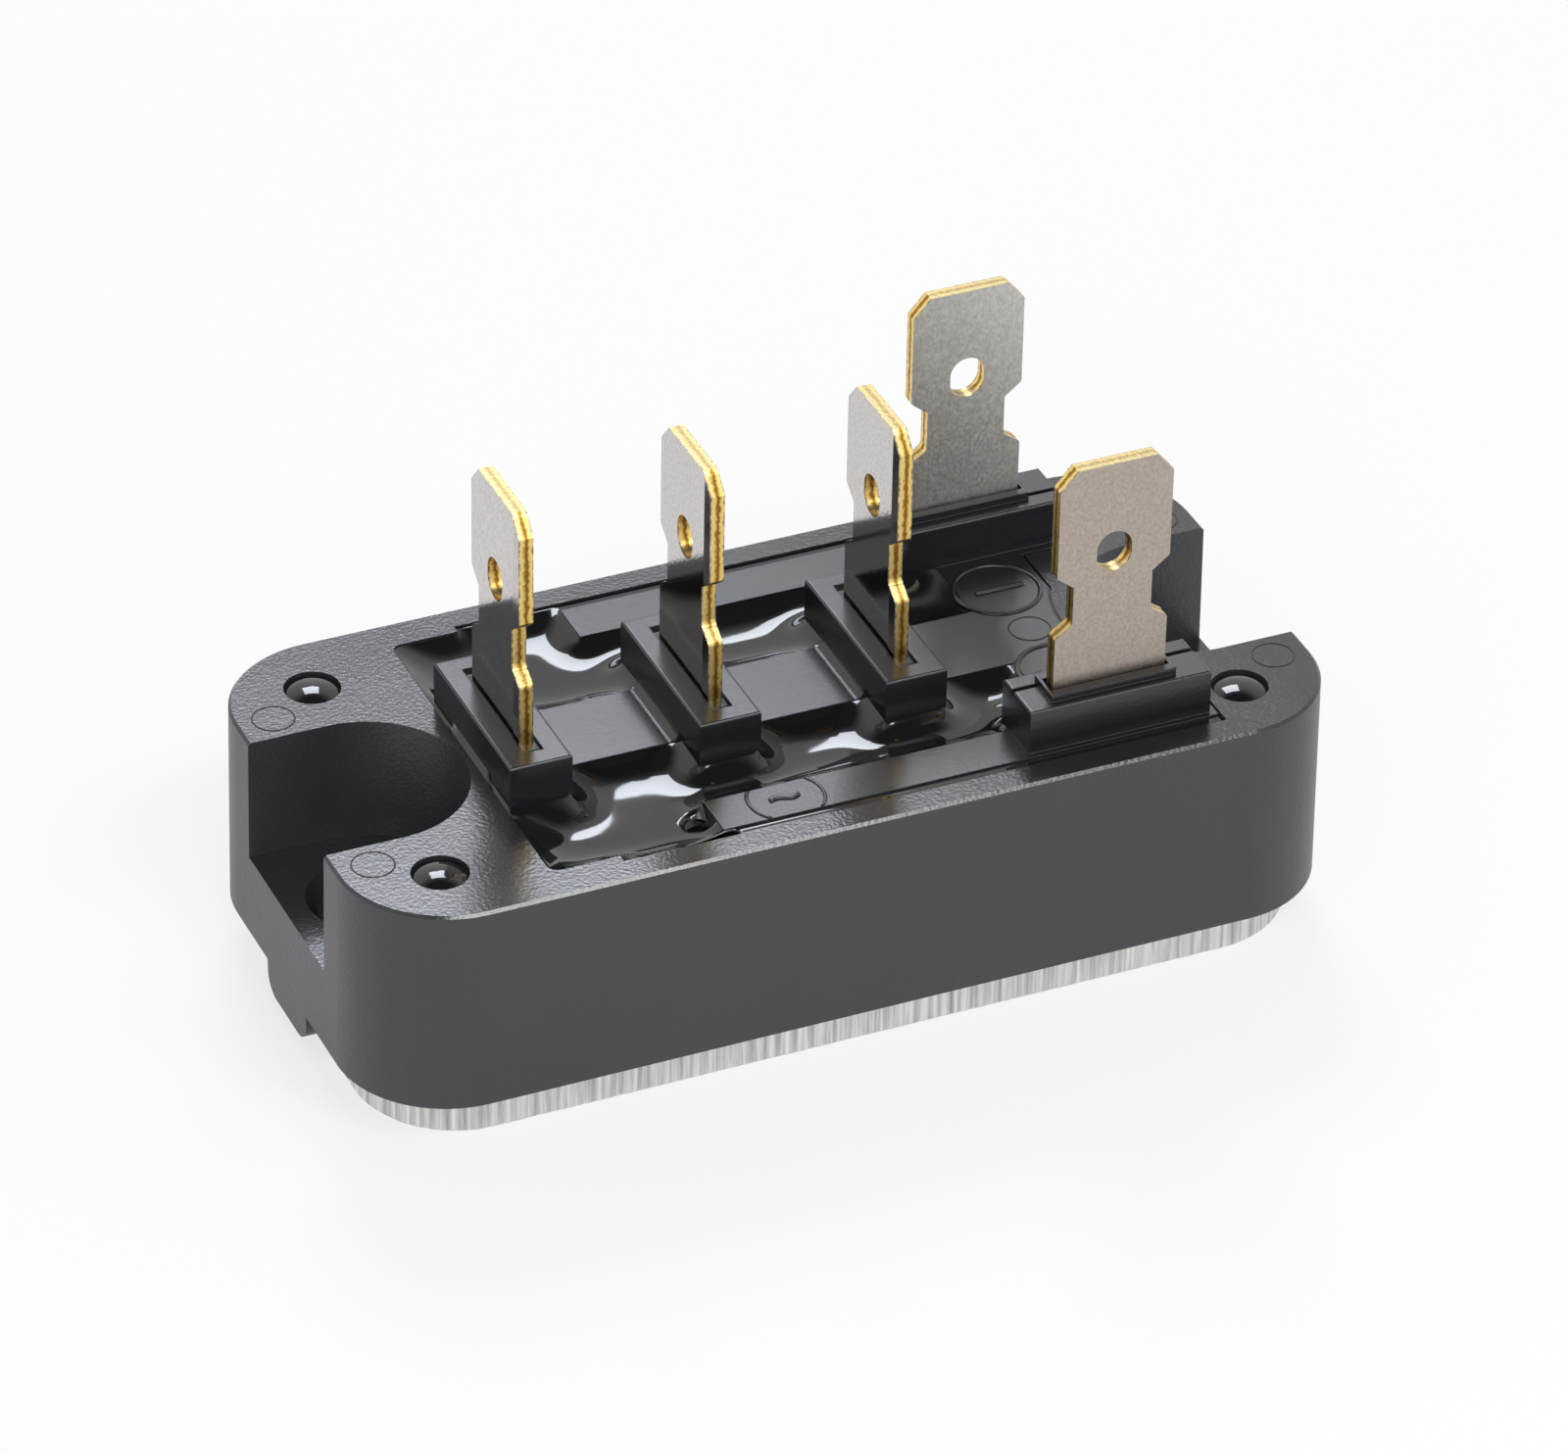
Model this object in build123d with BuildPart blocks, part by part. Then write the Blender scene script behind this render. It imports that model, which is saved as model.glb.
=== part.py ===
"""Three-phase bridge rectifier module with five 6.3 x 0.8 mm push-on tabs.

A black moulded housing is bonded to an aluminium base plate. Six diode chips sit on
a copper-clad ceramic inside it, under silicone gel and a hard potting resin, and a
second moulding, the terminal carrier, holds the five blades where they come out.

The frame: origin on the underside of the base plate at the middle of the module,
+X along the length towards the DC end, +Y towards the minus tab, +Z up.
"""
import os
from math import radians, tan

from build123d import *

os.makedirs("parts", exist_ok=True)

# ---- base plate -----------------------------------------------------------------
PLATE_INSET = 1.05
PLATE_CORNER = 5.5
PLATE_THICKNESS = 2.6
PLATE_EDGE_BREAK = 0.25
PLATE_SLOT_WIDTH = 6.4

# ---- moulded housing ------------------------------------------------------------
HOUSING_HEIGHT = 11.7
HOUSING_CORNER = 5.8
HOUSING_DRAFT = 0.64
RIM_CHAMFER = 0.15
SIDE_WALL = 2.05
END_MARGIN = 4.3
NOTCH_RADIUS = 5.36
NOTCH_WALL = 1.1
NOTCH_FLOOR_THICKNESS = 4.67
SCREW_HOLE = 5.3
SCREW_HOLE_CHAMFER = 0.5
CAVITY_SHOULDER = 0.81
CAVITY_CORNER = 0.6
REBATE_WALL = 1.55
REBATE_START = 3.75
LUG_CLEARANCE = 0.45
LUG_LENGTH = 1.6
LUG_DEPTH = 1.8
LUG_ROUND = 1.2

# ---- corner bonds: resin columns poured down to the plate ------------------------
CORNER_INSET = 4.1
CORNER_SHIFT = 0.55
COLUMN_DIAMETER = 3.0
MOUTH_DROP = 0.25
DOME_HEIGHT = 0.38

# ---- terminals ------------------------------------------------------------------
TAB_WIDTH = 6.3
TAB_THICKNESS = 0.8
TAB_HEIGHT = 13.2
TIP_CHAMFER_ACROSS = 0.95
TIP_CHAMFER_DOWN = 1.08
TAB_HOLE_WIDTH = 1.95
TAB_HOLE_HEIGHT = 2.35
TAB_HOLE_DROP = 5.25
HEAD_HEIGHT = 6.2
NECK_DEPTH = 0.95
NECK_SLOPE = 0.75
NECK_HEIGHT = 2.3
NECK_SHOULDER = 0.65
NECK_TOP_ROUND = 1.0
NECK_FOOT_ROUND = 0.4
BLADE_CORNER_ROUND = 0.2
LEG_WIDTH = 2.4
BEND_RADIUS = 0.4
AC_FOOT_LENGTH = 2.0
DC_FOOT_LENGTH = 1.2
AC_COUNT = 3
AC_PITCH = 10.35
DC_INSET = 2.0

# ---- terminal carrier -----------------------------------------------------------
CARRIER_THICKNESS = 1.5
CARRIER_GAP = 0.15
ARM_WIDTH = 2.7
ARM_START = 7.6
WEB_WIDTH = 5.2
PLATFORM_REACH = 2.1
PEDESTAL_WIDTH = 3.4
PEDESTAL_LENGTH = 10.4
PEDESTAL_RISE = 2.5
PEDESTAL_SKIRT = 2.0
PEDESTAL_EDGE = 0.15
WEB_ROOT_ROUND = 0.6
SLOT_LEAD_IN = 0.8
SLOT_LEAD_DEPTH = 0.5
DC_BLOCK_BEFORE = 4.9
DC_BLOCK_AFTER = 5.3
DC_BLOCK_INNER = 1.85
DC_BLOCK_OUTER = 1.55
DC_BLOCK_BORDER = 0.35
DC_GROOVE_OFFSET = 0.7
DC_GROOVE_WIDTH = 0.3
DC_GROOVE_DEPTH = 0.4
DC_COLLAR_LENGTH = 7.0
DC_COLLAR_WIDTH = 2.1
DC_COLLAR_RISE = 0.4
SLOT_CLEARANCE = 0.175
SEAT_DEPTH = 1.9

# ---- electrical stack -----------------------------------------------------------
SUBSTRATE_WIDTH = 21.2
SUBSTRATE_THICKNESS = 0.65
SUBSTRATE_END_GAP = 0.24
SUBSTRATE_SIDE_GAP = 0.35
COPPER_THICKNESS = 0.3
COPPER_MARGIN = 0.3
COPPER_GAP = 0.4
AC_PAD_GAP = 0.6
AC_PAD_LEAD = 0.1
PLUS_BUS_WIDTH = 5.8
MINUS_BUS_WIDTH = 3.1
CHIP_SIZE = 4.0
CHIP_THICKNESS = 0.4
CHIP_FOOT_GAP = 0.3
CHIP_INSET = 0.7
DC_CHIP_GAP = 0.95
DC_PAD_MARGIN = 0.15
CLIP_THICKNESS = 0.4
CLIP_WIDTH = 2.6
CLIP_RISE = 0.9
CLIP_CHIP_FOOT = 2.4
CLIP_PAD_FOOT = 1.2
CLIP_PAD_INSET = 0.8
CLIP_SLOPE = 0.6
CLIP_LEAN = 0.25

# ---- fillings -------------------------------------------------------------------
GEL_HEIGHT = 5.9
RESIN_DROP = 0.85
BUBBLE_RADIUS = 0.85
BUBBLE_DEPTH = 0.6
BUBBLE_BEFORE = 0.75
BUBBLE_OFFSET = 9.7

# ---- places along X that follow ---------------------------------------------------
half_thick = TAB_THICKNESS / 2
chip_from_blade = half_thick + AC_FOOT_LENGTH + CHIP_FOOT_GAP + CHIP_SIZE / 2
dc_from_chip = CHIP_SIZE / 2 + DC_CHIP_GAP + LEG_WIDTH / 2
lead = COPPER_MARGIN + AC_PAD_LEAD + half_thick
tail = LEG_WIDTH / 2 + DC_PAD_MARGIN + COPPER_MARGIN
substrate_length = lead + (AC_COUNT - 1) * AC_PITCH + chip_from_blade + dc_from_chip + tail
substrate_end = substrate_length / 2
ac_first = lead - substrate_end
ac_xs = [ac_first + AC_PITCH * index for index in range(AC_COUNT)]
chip_xs = [x + chip_from_blade for x in ac_xs]
dc_x = chip_xs[-1] + dc_from_chip
bulge_x = substrate_end + SUBSTRATE_END_GAP
bulge_radius = NOTCH_RADIUS + NOTCH_WALL
screw_x = bulge_x + bulge_radius
housing_end = screw_x + END_MARGIN
cavity_end = bulge_x + CAVITY_SHOULDER
block_start = dc_x - DC_BLOCK_BEFORE
block_end = dc_x + DC_BLOCK_AFTER
carrier_end = block_end + DC_BLOCK_BORDER
platform_start = dc_x - PLATFORM_REACH
corner_x = screw_x - CORNER_SHIFT

# ---- places along Y ---------------------------------------------------------------
copper_side = SUBSTRATE_WIDTH / 2 - COPPER_MARGIN
plus_bus_inner = -copper_side + PLUS_BUS_WIDTH
minus_bus_inner = copper_side - MINUS_BUS_WIDTH
ac_pad_front = plus_bus_inner + COPPER_GAP
ac_pad_back = minus_bus_inner - COPPER_GAP
plus_chip_y = plus_bus_inner - PLUS_BUS_WIDTH / 2
minus_chip_y = ac_pad_back - CHIP_INSET - CHIP_SIZE / 2
cavity_side = SUBSTRATE_WIDTH / 2 + SUBSTRATE_SIDE_GAP
housing_side = cavity_side + SIDE_WALL
rebate_side = housing_side - REBATE_WALL
dc_y = cavity_side - DC_INSET
block_inner = dc_y - DC_BLOCK_INNER
block_outer = dc_y + DC_BLOCK_OUTER
carrier_side = cavity_side - CARRIER_GAP
arm_inner = carrier_side - ARM_WIDTH
corner_y = housing_side - CORNER_INSET

# ---- levels -----------------------------------------------------------------------
substrate_top = PLATE_THICKNESS + SUBSTRATE_THICKNESS
copper_top = substrate_top + COPPER_THICKNESS
chip_top = copper_top + CHIP_THICKNESS
gel_top = PLATE_THICKNESS + GEL_HEIGHT
housing_top = PLATE_THICKNESS + HOUSING_HEIGHT
notch_floor = PLATE_THICKNESS + NOTCH_FLOOR_THICKNESS
resin_top = housing_top - RESIN_DROP
carrier_bottom = housing_top - CARRIER_THICKNESS
pedestal_bottom = housing_top - PEDESTAL_SKIRT
pedestal_top = housing_top + PEDESTAL_RISE
seat_z = pedestal_top - SEAT_DEPTH
collar_top = pedestal_top + DC_COLLAR_RISE
tab_tip = pedestal_top + TAB_HEIGHT

corners = [(sx * corner_x, sy * corner_y) for sx in (-1, 1) for sy in (-1, 1)]
screws = [(-screw_x, 0), (screw_x, 0)]
web_roots = [(x, 1) for x in ac_xs] + [(x, -1) for x in ac_xs[1:]]


def save(part, name):
    """Label a finished piece and write it under its node name."""
    part.label = name
    export_step(part, f"parts/{name}.step")
    return part


def band(x0, x1, y0, y1):
    """A rectangle given by its edges, for use inside a sketch."""
    with Locations(((x0 + x1) / 2, (y0 + y1) / 2)):
        Rectangle(x1 - x0, y1 - y0)


# ---- base plate: sheared aluminium with an open screw slot at each end -----------
with BuildPart() as base_plate:
    with BuildSketch():
        RectangleRounded(
            2 * (housing_end - PLATE_INSET),
            2 * (housing_side - PLATE_INSET),
            PLATE_CORNER,
        )
    extrude(amount=PLATE_THICKNESS)
    chamfer(base_plate.faces().sort_by(Axis.Z)[0].edges(), PLATE_EDGE_BREAK)
    with BuildSketch():
        for side in (-1, 1):
            with Locations((side * screw_x, 0)):
                Circle(PLATE_SLOT_WIDTH / 2)
            with Locations((side * (screw_x + housing_end) / 2, 0)):
                Rectangle(housing_end - screw_x, PLATE_SLOT_WIDTH)
    extrude(amount=PLATE_THICKNESS, mode=Mode.SUBTRACT)
save(base_plate.part, "base_plate")

# ---- insulating ceramic and the copper areas bonded on it -------------------------
with BuildPart() as insulating_substrate:
    with BuildSketch(Plane.XY.offset(PLATE_THICKNESS)):
        Rectangle(substrate_length, SUBSTRATE_WIDTH)
    extrude(amount=SUBSTRATE_THICKNESS)
save(insulating_substrate.part, "insulating_substrate")


def copper(x0, x1, y0, y1):
    """One copper area on top of the ceramic."""
    with BuildPart() as area:
        with BuildSketch(Plane.XY.offset(substrate_top)):
            band(x0, x1, y0, y1)
        extrude(amount=COPPER_THICKNESS)
    return area.part


bus_start = COPPER_MARGIN - substrate_end
bus_end = substrate_end - COPPER_MARGIN
stack = [insulating_substrate.part]
stack.append(save(copper(bus_start, bus_end, -copper_side, plus_bus_inner), "pad_plus_bus"))
stack.append(save(copper(bus_start, bus_end, minus_bus_inner, copper_side), "pad_minus_bus"))
for number, ac_x in enumerate(ac_xs, start=1):
    pad_start = ac_x - half_thick - AC_PAD_LEAD
    pad_end = pad_start + AC_PITCH - AC_PAD_GAP
    stack.append(save(copper(pad_start, pad_end, ac_pad_front, ac_pad_back), f"pad_ac_{number}"))


# ---- diode chips and the copper clips on top of them ------------------------------
def chip(x, y):
    """One square diode chip soldered cathode down."""
    with BuildPart() as die:
        with BuildSketch(Plane.XY.offset(copper_top)):
            with Locations((x, y)):
                Rectangle(CHIP_SIZE, CHIP_SIZE)
        extrude(amount=CHIP_THICKNESS)
    return die.part


def clip(x, chip_y, pad_edge):
    """A sheet copper bridge from the top of a chip over to the next copper area."""
    foot_start = chip_y - CLIP_CHIP_FOOT / 2
    foot_end = chip_y + CLIP_CHIP_FOOT / 2
    crest = chip_top + CLIP_RISE
    land_start = pad_edge + CLIP_PAD_INSET
    land_end = land_start + CLIP_PAD_FOOT
    with BuildPart() as bridge:
        with BuildSketch(Plane.YZ.offset(x)):
            with BuildLine():
                Polyline(
                    (foot_start, chip_top),
                    (foot_end, chip_top),
                    (foot_end + CLIP_SLOPE, crest),
                    (land_start - CLIP_SLOPE, crest),
                    (land_start, copper_top),
                    (land_end, copper_top),
                    (land_end, copper_top + CLIP_THICKNESS),
                    (land_start + CLIP_LEAN, copper_top + CLIP_THICKNESS),
                    (land_start + CLIP_LEAN - CLIP_SLOPE, crest + CLIP_THICKNESS),
                    (foot_end - CLIP_LEAN + CLIP_SLOPE, crest + CLIP_THICKNESS),
                    (foot_end - CLIP_LEAN, chip_top + CLIP_THICKNESS),
                    (foot_start, chip_top + CLIP_THICKNESS),
                    close=True,
                )
            make_face()
        extrude(amount=CLIP_WIDTH / 2, both=True)
    return bridge.part


for number, chip_x in enumerate(chip_xs, start=1):
    stack.append(save(chip(chip_x, plus_chip_y), f"diode_plus_{number}"))
    stack.append(save(chip(chip_x, minus_chip_y), f"diode_minus_{number}"))
    stack.append(save(clip(chip_x, plus_chip_y, ac_pad_front), f"clip_plus_{number}"))
    stack.append(save(clip(chip_x, minus_chip_y, minus_bus_inner), f"clip_minus_{number}"))


# ---- terminals: stamped blades with a necked head, an eye and a bent foot ----------
def terminal(plane, foot_length):
    """One terminal: the blade lies in the plane, the foot runs along its normal."""
    half = TAB_WIDTH / 2
    neck = half - NECK_DEPTH
    neck_top = tab_tip - HEAD_HEIGHT - NECK_SLOPE
    neck_bottom = neck_top - NECK_HEIGHT
    side_plane = Plane(origin=plane.origin, x_dir=plane.z_dir, z_dir=-plane.x_dir)
    with BuildPart() as blade:
        with BuildSketch(plane) as face:
            with BuildLine():
                Polyline(
                    (0, tab_tip),
                    (half - TIP_CHAMFER_ACROSS, tab_tip),
                    (half, tab_tip - TIP_CHAMFER_DOWN),
                    (half, tab_tip - HEAD_HEIGHT),
                    (neck, neck_top),
                    (neck, neck_bottom),
                    (half, neck_bottom - NECK_SHOULDER),
                    (half, seat_z),
                    (0, seat_z),
                    close=True,
                )
            make_face()
            mirror(about=Plane.YZ)
            waist = face.vertices().filter_by(lambda v: abs(abs(v.X) - neck) < 1e-4)
            waist = waist.sort_by(Axis.Y)
            fillet(waist[:2], NECK_FOOT_ROUND)
            fillet(waist[2:], NECK_TOP_ROUND)
            outer = face.vertices().filter_by(
                lambda v: abs(abs(v.X) - half) < 1e-4 and seat_z + 1 < v.Y < tab_tip - 2
            )
            fillet(outer, BLADE_CORNER_ROUND)
            with Locations((0, tab_tip - TAB_HOLE_DROP)):
                SlotOverall(TAB_HOLE_HEIGHT, TAB_HOLE_WIDTH, rotation=90, mode=Mode.SUBTRACT)
        extrude(amount=half_thick, both=True)
        # leg and foot, bent from the same sheet
        with BuildSketch(side_plane):
            with BuildLine():
                foot_start = half_thick + BEND_RADIUS
                inner_z = copper_top + TAB_THICKNESS
                Polyline(
                    (half_thick, inner_z + BEND_RADIUS),
                    (half_thick, seat_z),
                    (-half_thick, seat_z),
                    (-half_thick, inner_z + BEND_RADIUS),
                )
                RadiusArc(
                    (-half_thick, inner_z + BEND_RADIUS),
                    (foot_start, copper_top),
                    -(BEND_RADIUS + TAB_THICKNESS),
                )
                Polyline(
                    (foot_start, copper_top),
                    (half_thick + foot_length, copper_top),
                    (half_thick + foot_length, inner_z),
                    (foot_start, inner_z),
                )
                RadiusArc((foot_start, inner_z), (half_thick, inner_z + BEND_RADIUS), BEND_RADIUS)
            make_face()
        extrude(amount=LEG_WIDTH / 2, both=True)
    return blade.part


terminals = []
for number, ac_x in enumerate(ac_xs, start=1):
    ac_plane = Plane(origin=(ac_x, 0, 0), x_dir=(0, 1, 0), z_dir=(1, 0, 0))
    terminals.append(save(terminal(ac_plane, AC_FOOT_LENGTH), f"terminal_ac_{number}"))
plus_plane = Plane(origin=(dc_x, -dc_y, 0), x_dir=(-1, 0, 0), z_dir=(0, 1, 0))
terminals.append(save(terminal(plus_plane, DC_FOOT_LENGTH), "terminal_dc_plus"))
minus_plane = Plane(origin=(dc_x, dc_y, 0), x_dir=(1, 0, 0), z_dir=(0, -1, 0))
terminals.append(save(terminal(minus_plane, DC_FOOT_LENGTH), "terminal_dc_minus"))

# ---- housing: drafted shell with end notches and a cavity open top and bottom ------
draft_run = HOUSING_HEIGHT * tan(radians(HOUSING_DRAFT))
with BuildPart() as housing:
    with BuildSketch(Plane.XY.offset(PLATE_THICKNESS)):
        RectangleRounded(
            2 * (housing_end + draft_run),
            2 * (housing_side + draft_run),
            HOUSING_CORNER + draft_run,
        )
    extrude(amount=HOUSING_HEIGHT, taper=HOUSING_DRAFT)
    chamfer(housing.faces().sort_by(Axis.Z)[-1].edges(), RIM_CHAMFER)
    # lugs under both ends close the mouths of the plate's screw slots
    for side in (-1, 1):
        with BuildSketch(Plane.YZ.offset(side * (housing_end + draft_run))):
            with Locations((0, PLATE_THICKNESS - LUG_DEPTH / 2)):
                Rectangle(PLATE_SLOT_WIDTH - 2 * LUG_CLEARANCE, LUG_DEPTH)
        extrude(amount=-side * LUG_LENGTH)
    fillet(housing.faces().sort_by(Axis.Z)[0:2].edges().filter_by(Axis.X), LUG_ROUND)
    # end notches open through the end faces
    with BuildSketch(Plane.XY.offset(notch_floor)):
        for side in (-1, 1):
            with Locations((side * screw_x, 0)):
                Circle(NOTCH_RADIUS)
            with Locations((side * (screw_x + END_MARGIN), 0)):
                Rectangle(2 * END_MARGIN, 2 * NOTCH_RADIUS)
    extrude(amount=housing_top - notch_floor, mode=Mode.SUBTRACT)
    with Locations(*[(x, y, notch_floor) for x, y in screws]):
        CounterSinkHole(
            SCREW_HOLE / 2,
            SCREW_HOLE / 2 + SCREW_HOLE_CHAMFER,
            depth=NOTCH_FLOOR_THICKNESS,
            counter_sink_angle=90,
        )
    # cavity right through, bulged inwards by the walls of the two notches
    with BuildSketch(Plane.XY.offset(PLATE_THICKNESS)) as cavity_outline:
        RectangleRounded(2 * cavity_end, 2 * cavity_side, CAVITY_CORNER)
        with Locations(*screws):
            Circle(bulge_radius, mode=Mode.SUBTRACT)
    extrude(amount=HOUSING_HEIGHT, mode=Mode.SUBTRACT)
    # rebate round the top of the cavity that the terminal carrier drops into
    with BuildSketch(Plane.XY.offset(carrier_bottom)) as rebate_outline:
        band(REBATE_START - cavity_end, cavity_end, -rebate_side, rebate_side)
        with Locations(*screws):
            Circle(bulge_radius, mode=Mode.SUBTRACT)
        for side in (-1, 1):
            band(
                cavity_end - CARRIER_GAP,
                carrier_end + CARRIER_GAP,
                min(side * bulge_radius, side * rebate_side),
                max(side * bulge_radius, side * rebate_side),
            )
    extrude(amount=CARRIER_THICKNESS, mode=Mode.SUBTRACT)
    # bores of the corner bonds
    with Locations(*[(x, y, PLATE_THICKNESS) for x, y in corners]):
        Cylinder(
            COLUMN_DIAMETER / 2,
            HOUSING_HEIGHT,
            align=(Align.CENTER, Align.CENTER, Align.MIN),
            mode=Mode.SUBTRACT,
        )
save(housing.part, "housing")

# ---- corner bonds: resin columns with a domed top ----------------------------------
dome_rim = housing_top - MOUTH_DROP
with BuildPart() as corner_resin_plugs:
    for x, y in corners:
        with BuildSketch(Plane(origin=(x, y, 0), x_dir=(1, 0, 0), z_dir=(0, -1, 0))):
            with BuildLine():
                Polyline(
                    (0, dome_rim + DOME_HEIGHT),
                    (0, PLATE_THICKNESS),
                    (COLUMN_DIAMETER / 2, PLATE_THICKNESS),
                    (COLUMN_DIAMETER / 2, dome_rim),
                )
                TangentArc(
                    (0, dome_rim + DOME_HEIGHT),
                    (COLUMN_DIAMETER / 2, dome_rim),
                    tangent=(1, 0),
                )
            make_face()
        revolve(axis=Axis((x, y, 0), (0, 0, 1)))
save(corner_resin_plugs.part, "corner_resin_plugs")

# ---- terminal carrier: flat frame with three pedestals and two long blocks ---------
with BuildPart() as terminal_carrier:
    with BuildSketch(Plane.XY.offset(carrier_bottom)):
        # platform between the DC blocks, with the seats beyond it on both sides
        band(platform_start, cavity_end - CARRIER_GAP, -carrier_side, carrier_side)
        for side in (-1, 1):
            near = bulge_radius + CARRIER_GAP
            ends = sorted((side * near, side * carrier_side))
            band(platform_start, carrier_end, *ends)
            ends = sorted((side * arm_inner, side * carrier_side))
            band(-ARM_START, platform_start, *ends)
            ends = sorted((side * block_inner, side * block_outer))
            band(block_start, block_end, *ends)
        band(ac_xs[0], platform_start, -WEB_WIDTH / 2, WEB_WIDTH / 2)
        with Locations(*screws):
            Circle(bulge_radius + CARRIER_GAP, mode=Mode.SUBTRACT)
    extrude(amount=CARRIER_THICKNESS)
    # pedestal roots reach down into the resin
    with BuildSketch(Plane.XY.offset(pedestal_bottom)):
        with Locations(*[(x, 0) for x in ac_xs]):
            Rectangle(PEDESTAL_WIDTH, PEDESTAL_LENGTH)
        with Locations(*screws):
            Circle(bulge_radius + CARRIER_GAP, mode=Mode.SUBTRACT)
    extrude(amount=PEDESTAL_SKIRT)
    with BuildSketch(Plane.XY.offset(housing_top)):
        with Locations(*[(x, 0) for x in ac_xs]):
            Rectangle(PEDESTAL_WIDTH, PEDESTAL_LENGTH)
        for side in (-1, 1):
            ends = sorted((side * block_inner, side * block_outer))
            band(block_start, block_end, *ends)
    extrude(amount=PEDESTAL_RISE)
    fillet(terminal_carrier.faces().group_by(Axis.Z)[-1].edges(), PEDESTAL_EDGE)
    # low collar round the slot of each DC blade
    with BuildSketch(Plane.XY.offset(pedestal_top)):
        with Locations((dc_x, -dc_y), (dc_x, dc_y)):
            Rectangle(DC_COLLAR_LENGTH, DC_COLLAR_WIDTH)
    extrude(amount=DC_COLLAR_RISE)
    # rounded roots where the web meets the walls of the pedestals
    with BuildSketch(Plane.XZ):
        for x, side in web_roots:
            wall = x + side * PEDESTAL_WIDTH / 2
            with BuildLine():
                bend = Polyline(
                    (wall, housing_top + WEB_ROOT_ROUND),
                    (wall, housing_top),
                    (wall + side * WEB_ROOT_ROUND, housing_top),
                )
                ThreePointArc(
                    bend @ 1,
                    (wall + side * 0.293 * WEB_ROOT_ROUND, housing_top + 0.293 * WEB_ROOT_ROUND),
                    bend @ 0,
                )
            make_face()
    extrude(amount=WEB_WIDTH / 2, both=True)
    carrier_blank = terminal_carrier.part
    # seats for the blades, then narrower slots for their legs
    with BuildSketch(Plane.XY.offset(collar_top)):
        with Locations(*[(x, 0) for x in ac_xs]):
            Rectangle(TAB_THICKNESS + 2 * SLOT_CLEARANCE, TAB_WIDTH + 2 * SLOT_CLEARANCE)
        with Locations((dc_x, -dc_y), (dc_x, dc_y)):
            Rectangle(TAB_WIDTH + 2 * SLOT_CLEARANCE, TAB_THICKNESS + 2 * SLOT_CLEARANCE)
    extrude(amount=seat_z - collar_top, mode=Mode.SUBTRACT)
    with BuildSketch(Plane.XY.offset(collar_top)):
        with Locations(*[(x, 0) for x in ac_xs]):
            Rectangle(TAB_THICKNESS + 2 * SLOT_CLEARANCE, LEG_WIDTH + 2 * SLOT_CLEARANCE)
        with Locations((dc_x, -dc_y), (dc_x, dc_y)):
            Rectangle(LEG_WIDTH + 2 * SLOT_CLEARANCE, TAB_THICKNESS + 2 * SLOT_CLEARANCE)
    extrude(amount=pedestal_bottom - collar_top, mode=Mode.SUBTRACT)
    # sloping lead-in at both ends of each AC slot
    with BuildSketch(Plane.YZ) as lead_in:
        for side in (-1, 1):
            slot_end = side * (TAB_WIDTH / 2 + SLOT_CLEARANCE)
            with BuildLine():
                Polyline(
                    (slot_end, pedestal_top),
                    (slot_end, pedestal_top - SLOT_LEAD_DEPTH),
                    (slot_end + side * SLOT_LEAD_IN, pedestal_top),
                    close=True,
                )
            make_face()
    for x in ac_xs:
        extrude(
            Plane.YZ.offset(x) * lead_in.sketch_local,
            amount=half_thick + SLOT_CLEARANCE,
            both=True,
            mode=Mode.SUBTRACT,
        )
    # narrow groove along the top of each DC block, on both sides of the collar
    with BuildSketch(Plane.XY.offset(pedestal_top)):
        for side in (-1, 1):
            middle = dc_y - DC_GROOVE_OFFSET
            inner, outer = middle - DC_GROOVE_WIDTH / 2, middle + DC_GROOVE_WIDTH / 2
            ends = sorted((side * inner, side * outer))
            band(block_start, dc_x - DC_COLLAR_LENGTH / 2, *ends)
            band(dc_x + DC_COLLAR_LENGTH / 2, block_end, *ends)
    extrude(amount=-DC_GROOVE_DEPTH, mode=Mode.SUBTRACT)
save(terminal_carrier.part, "terminal_carrier")

# ---- soft gel over the chips, hard resin over the gel ------------------------------
with BuildPart() as silicone_gel:
    with BuildSketch(Plane.XY.offset(PLATE_THICKNESS)):
        add(cavity_outline.sketch_local)
    extrude(amount=GEL_HEIGHT)
    for piece in stack + terminals:
        add(piece, mode=Mode.SUBTRACT)
save(silicone_gel.part, "silicone_gel")

with BuildPart() as potting_resin:
    with BuildSketch(Plane.XY.offset(gel_top)):
        add(cavity_outline.sketch_local)
    extrude(amount=resin_top - gel_top)
    with BuildSketch(Plane.XY.offset(carrier_bottom)):
        add(rebate_outline.sketch_local)
    extrude(amount=resin_top - carrier_bottom)
    add(carrier_blank, mode=Mode.SUBTRACT)
    for piece in terminals:
        add(piece, mode=Mode.SUBTRACT)
    # a burst bubble beside the free end of the front arm
    with Locations((-ARM_START - BUBBLE_BEFORE, -BUBBLE_OFFSET, resin_top)):
        Cylinder(BUBBLE_RADIUS, 2 * BUBBLE_DEPTH, mode=Mode.SUBTRACT)
save(potting_resin.part, "potting_resin")
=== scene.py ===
import math

import bmesh
import bpy
from mathutils import Matrix, Vector


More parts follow.
